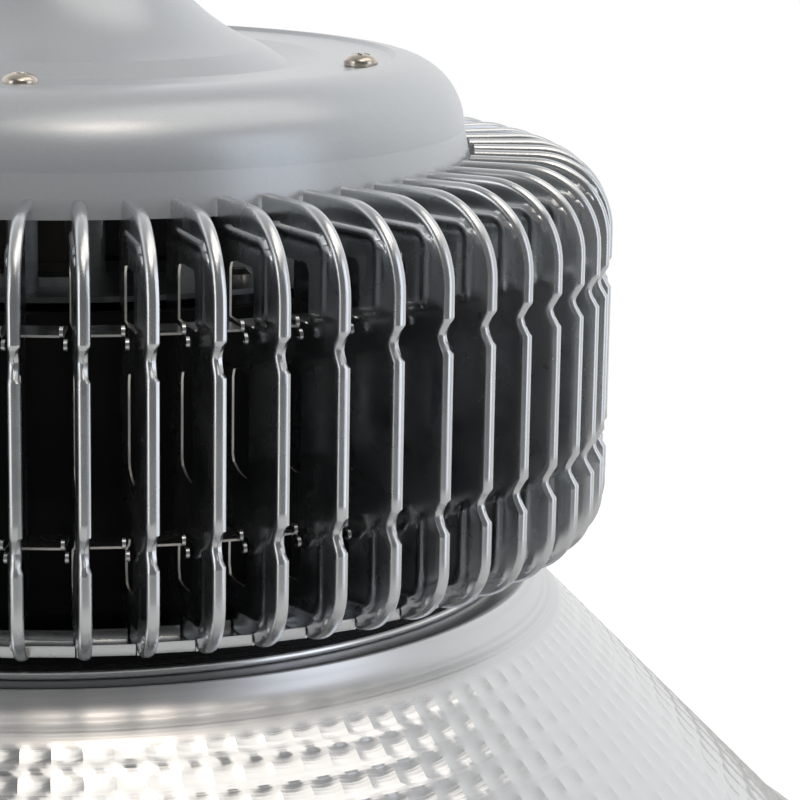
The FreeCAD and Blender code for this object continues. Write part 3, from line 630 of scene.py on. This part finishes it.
# ---- light engine -------------------------------------------------------------------------------
# A white aluminium board with a round field of yellow phosphor, held by a white moulded ring,
# behind a pressed glass lens in an aluminium clamp ring.

# white solder mask on the board
white_board, tree, shader, place = new_finish("white_solder_mask", "#ECECE8", 0.0, 0.35)
tint(tree, shader, spread_of(tree, place, 300.0), "#E6E6E1", "#F1F1EE")
dress(white_board, "led_board")

# yellow phosphor in clear gel
phosphor, tree, shader, place = new_finish("phosphor_gel", "#E3C24A", 0.0, 0.3, Coat_Weight=0.5)
tint(tree, shader, spread_of(tree, place, 900.0), "#DDB93C", "#E9CD5E")
dress(phosphor, "led_emitter")

# white moulded polycarbonate
white_moulding, tree, shader, place = new_finish("white_polycarbonate", "#EDEDED", 0.0, 0.4)
relief(tree, shader, spread_of(tree, place, 1500.0), 0.00002)
dress(white_moulding, "board_holder")

# clear pressed glass: very slightly wavy
lens_glass, tree, shader, place = new_finish(
    "pressed_glass", "#F4FAFA", 0.0, 0.03, Transmission_Weight=1.0, IOR=1.5)
relief(tree, shader, spread_of(tree, place, 35.0, detail=1.0), 0.00008)
dress(lens_glass, "glass_lens")


# ---- reflector collar and clamp ring --------------------------------------------------------------
# Turned from aluminium and polished: the collar is the bright bead under the fins. The lens's
# clamp ring is turned the same way.

# turned aluminium, polished but still with fine turning lines
polished, tree, shader, place = new_finish("polished_aluminium", "#E3E4E5", 1.0, 0.26)
turning = rings_of(tree, place, 0.0006)
vary(tree, shader, "Roughness", turning, 0.2, 0.32)
relief(tree, shader, turning, 0.000008)
dress(polished, "reflector_collar", "lens_ring")


# ---- reflector ----------------------------------------------------------------------------------
# Spun aluminium cone of 45 degrees, anodised bright. It starts with a steep plain shoulder;
# below, rows of shallow dimples are pressed into it from outside, and the rim is rolled.

SUM = 243.0                 # the cone's face is where distance and height add up to this
CONE_TOP, CONE_END = 136.2, 240.0
FLANGE_HOLE, FLANGE_Z, THICK = 106.0, 106.8, 1.2
ROWS, FIRST_ROW, LAST_ROW = 13, 147.5, 237.6    # the dimples' rows, and where they start and end
COLUMNS, FIRST_COLUMN = 120, -1.34              # dimples in a row, and the bearing of one border
PER_COLUMN = 5                                  # mesh cells across a dimple
DIMPLE = 0.42                                   # depth
SHOULDER = (                # rounded corner, steep fall and the turn into the cone, each point
    (1.9, 2.5, 2.9, 3.1, 3.3, 3.75, 4.4, 5.2, 6.3, 7.7, 9.1),       # out from the cone's top
    (0.0, 0.15, 0.45, 0.9, 1.6, 3.0, 4.4, 5.6, 6.9, 8.2, 9.3),      # and down from the flange
)
ROLL = 2.5                  # radius of the rim's roll


def cone_rows(per_row):
    """Distances from the axis down the cone, with the dimple's share across each row: 0 at a
    row's borders, 1 in its middle, and 0 over the plain ends. Each row is longer than the one
    above by the same ratio, as its dimples are wider."""
    plain = np.array([CONE_TOP + 10.0, CONE_TOP + 10.8])
    v = np.arange(ROWS * per_row) / per_row
    rows = FIRST_ROW * (LAST_ROW / FIRST_ROW) ** (v / ROWS)
    share = 1 - (2 * (v % 1) - 1) ** 2
    end = np.array([LAST_ROW, CONE_END - 0.6])
    return np.concatenate([plain, rows, end]), np.concatenate([0 * plain, share, 0 * end])


def reflector_grid():
    """A closed profile turned round the axis. The outer and the inner face are the cone moved
    along its normal inwards by DIMPLE (1 - (2u - 1)(2u - 1)) (1 - (2v - 1)(2v - 1)), where u runs
    from 0 to 1 across each dimple and v down it."""
    a = np.radians(FIRST_COLUMN + np.linspace(0, 360, COLUMNS * PER_COLUMN + 1))
    once = np.ones_like(a)
    u = (np.arange(COLUMNS * PER_COLUMN + 1) % PER_COLUMN) / PER_COLUMN
    across = 1 - (2 * u - 1) ** 2
    faces = []
    for per_row, depth in ((6, 0.0), (3, -THICK)):      # the inner face is coarser
        radius, dimple = cone_rows(per_row)
        out = (depth - DIMPLE * dimple[:, None] * across) / math.sqrt(2)
        faces.append((radius[:, None] + out, SUM - radius[:, None] + out))
    (outer_r, outer_z), (inner_r, inner_z) = faces
    turn = np.radians(np.linspace(80, -215, 15))
    roll_r = CONE_END + ROLL * np.cos(turn)
    roll_z = ROLL + ROLL * np.sin(turn)
    shoulder_out, shoulder_down = np.array(SHOULDER)
    flange_r = np.append([FLANGE_HOLE, FLANGE_HOLE, CONE_TOP - 8], CONE_TOP + shoulder_out)
    flange_z = np.append([FLANGE_Z - THICK, FLANGE_Z, FLANGE_Z], FLANGE_Z - shoulder_down)
    under_r = np.array([CONE_TOP + 8.0, CONE_TOP + 3.9, CONE_TOP + 1.8, FLANGE_HOLE])
    under_z = np.array([FLANGE_Z - 9.9, FLANGE_Z - 5.2, FLANGE_Z - THICK, FLANGE_Z - THICK])
    r = np.concatenate([np.outer(flange_r, once), outer_r, np.outer(roll_r, once), inner_r[::-1],
                        np.outer(under_r, once)])
    z = np.concatenate([np.outer(flange_z, once), outer_z, np.outer(roll_z, once), inner_z[::-1],
                        np.outer(under_z, once)])
    return r * np.sin(a), -r * np.cos(a), z


# bright anodised aluminium with spinning lines
spun_aluminium, tree, shader, place = new_finish("bright_anodised_aluminium", "#D3D4D5", 1.0, 0.2)
spinning = rings_of(tree, place, 0.0009)
lines = add(tree, "MapRange", {
    "Value": spinning, "From Min": 0.3, "From Max": 0.7, "To Min": 0.14, "To Max": 0.24,
})
height = add(tree, "SeparateXYZ", {"Vector": place}).outputs["Z"]
drawn = add(tree, "MapRange", {             # above the dimples the tool's marks leave it duller
    "Value": height, "From Min": 0.093, "From Max": 0.0965, "To Min": 0.0, "To Max": 0.18,
})
dull = add(tree, "Math", {0: lines.outputs["Result"], 1: drawn.outputs["Result"]}, operation="ADD")
tree.links.new(dull.outputs["Value"], shader.inputs["Roughness"])
relief(tree, shader, spinning, 0.00003)

x, y, z = reflector_grid()
cone = piece("faceted_reflector", np.stack([x.ravel(), y.ravel(), z.ravel()], 1), quads(x.shape),
             (spun_aluminium,))
join(cone)
settle(cone, sharp=11)
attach(cone, "root")
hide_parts("reflector")


# ---- floor, light and camera --------------------------------------------------------------------
# A pale studio: a round floor in white surroundings that are darker in front and overhead, a wide
# soft light above, a warm strip before it, and a tall window at each side.

FLOOR_RADIUS, FLOOR_SIDES = 0.6, 96
a = np.linspace(0, 2 * math.pi, FLOOR_SIDES + 1)[:-1]
floor_rim = [(FLOOR_RADIUS * math.sin(t), -FLOOR_RADIUS * math.cos(t), 0.0) for t in a]
floor_mesh = bpy.data.meshes.new("studio_floor")
floor_mesh.from_pydata(floor_rim, [], [list(range(FLOOR_SIDES))[::-1]])
floor = bpy.data.objects.new("studio_floor", floor_mesh)
bpy.context.scene.collection.objects.link(floor)
pale_floor, tree, shader, place = new_finish("pale_floor", "#E4E4E4", 0.0, 0.9)
tint(tree, shader, spread_of(tree, place, 4.0), "#E2E2E2", "#E6E6E6")
# it glows for the camera alone, which takes it to white and leaves the shadow
seen = add(tree, "LightPath").outputs["Is Camera Ray"]
glow = add(tree, "Math", {0: seen, 1: 0.55}, operation="MULTIPLY")
shader.inputs["Emission Color"].default_value = (1.0, 1.0, 1.0, 1.0)
tree.links.new(glow.outputs["Value"], shader.inputs["Emission Strength"])
floor_mesh.materials.append(pale_floor)

# the surroundings are white to the camera; what the lamp mirrors is bright behind it, dark in
# front and about half as bright overhead
studio = bpy.data.worlds.new("studio")
bpy.context.scene.world = studio
studio.use_nodes = True
tree = studio.node_tree
backdrop = tree.nodes["Background"]
way = add(tree, "TexCoord").outputs["Generated"]
parts = add(tree, "SeparateXYZ", {"Vector": way})
level = add(tree, "MapRange", {
    "Value": parts.outputs["Y"], "From Min": -0.9, "From Max": 0.6, "To Min": 0.16, "To Max": 1.0,
}, interpolation_type="SMOOTHSTEP")
seen = add(tree, "LightPath").outputs["Is Camera Ray"]
overhead = add(tree, "MapRange", {
    "Value": parts.outputs["Z"], "From Min": 0.5, "From Max": 0.85, "To Min": 1.0, "To Max": 0.55,
}, interpolation_type="SMOOTHSTEP")
dimmed = add(tree, "Math", {
    0: level.outputs["Result"], 1: overhead.outputs["Result"]}, operation="MULTIPLY")
strength = add(tree, "Math", {0: dimmed.outputs["Value"], 1: seen}, operation="MAXIMUM")
backdrop.inputs["Color"].default_value = (1.0, 1.0, 1.0, 1.0)
tree.links.new(strength.outputs["Value"], backdrop.inputs["Strength"])


def softbox(name, place, aim, width, height, watts, colour):
    """A rectangular area light that faces a point."""
    lamp = bpy.data.lights.new(name, "AREA")
    lamp.shape = "RECTANGLE"
    lamp.size, lamp.size_y = width, height
    lamp.energy = watts
    lamp.color = linear(colour)[:3]
    made = bpy.data.objects.new(name, lamp)
    made.location = place
    made.rotation_euler = (Vector(aim) - Vector(place)).to_track_quat("-Z", "Y").to_euler()
    bpy.context.scene.collection.objects.link(made)


softbox("overhead_softbox", (0.42, -0.34, 1.35), (0.0, 0.0, 0.2), 1.7, 0.85, 5.6, "#FFF8F0")
softbox("front_strip", (0.22, -0.75, 1.45), (0.0, -0.1, 0.24), 0.4, 0.1, 1.5, "#FFECD9")
softbox("right_window", (1.05, -0.68, 0.35), (0.0, -0.05, 0.2), 0.6, 1.3, 2.9, "#EDF3FF")
softbox("left_window", (-1.05, -0.68, 0.35), (0.0, -0.05, 0.2), 0.5, 1.3, 2.8, "#FFFFFF")

# a long lens at the height of the eye bolt, which looks down and to the right of the lamp's axis
eye = Vector((0.0, -0.85989, 0.336))
YAW, PITCH, TILT = (math.radians(angle) for angle in (6.6338, 12.0844, 0.9434))
ahead = Vector((math.sin(YAW) * math.cos(PITCH), math.cos(YAW) * math.cos(PITCH), -math.sin(PITCH)))
level_right = Vector((math.cos(YAW), -math.sin(YAW), 0.0))
level_up = level_right.cross(ahead)
right = level_right * math.cos(TILT) + level_up * math.sin(TILT)
up = level_up * math.cos(TILT) - level_right * math.sin(TILT)
lens = bpy.data.cameras.new("camera")
lens.sensor_width = 36.0    # lens sizes are in millimetres
lens.lens = 133.53
lens.clip_start = 0.01
camera = bpy.data.objects.new("camera", lens)
camera.matrix_world = Matrix.Translation(eye) @ Matrix((right, up, -ahead)).transposed().to_4x4()
bpy.context.scene.collection.objects.link(camera)
bpy.context.scene.camera = camera
bpy.context.scene.view_settings.view_transform = "Standard"
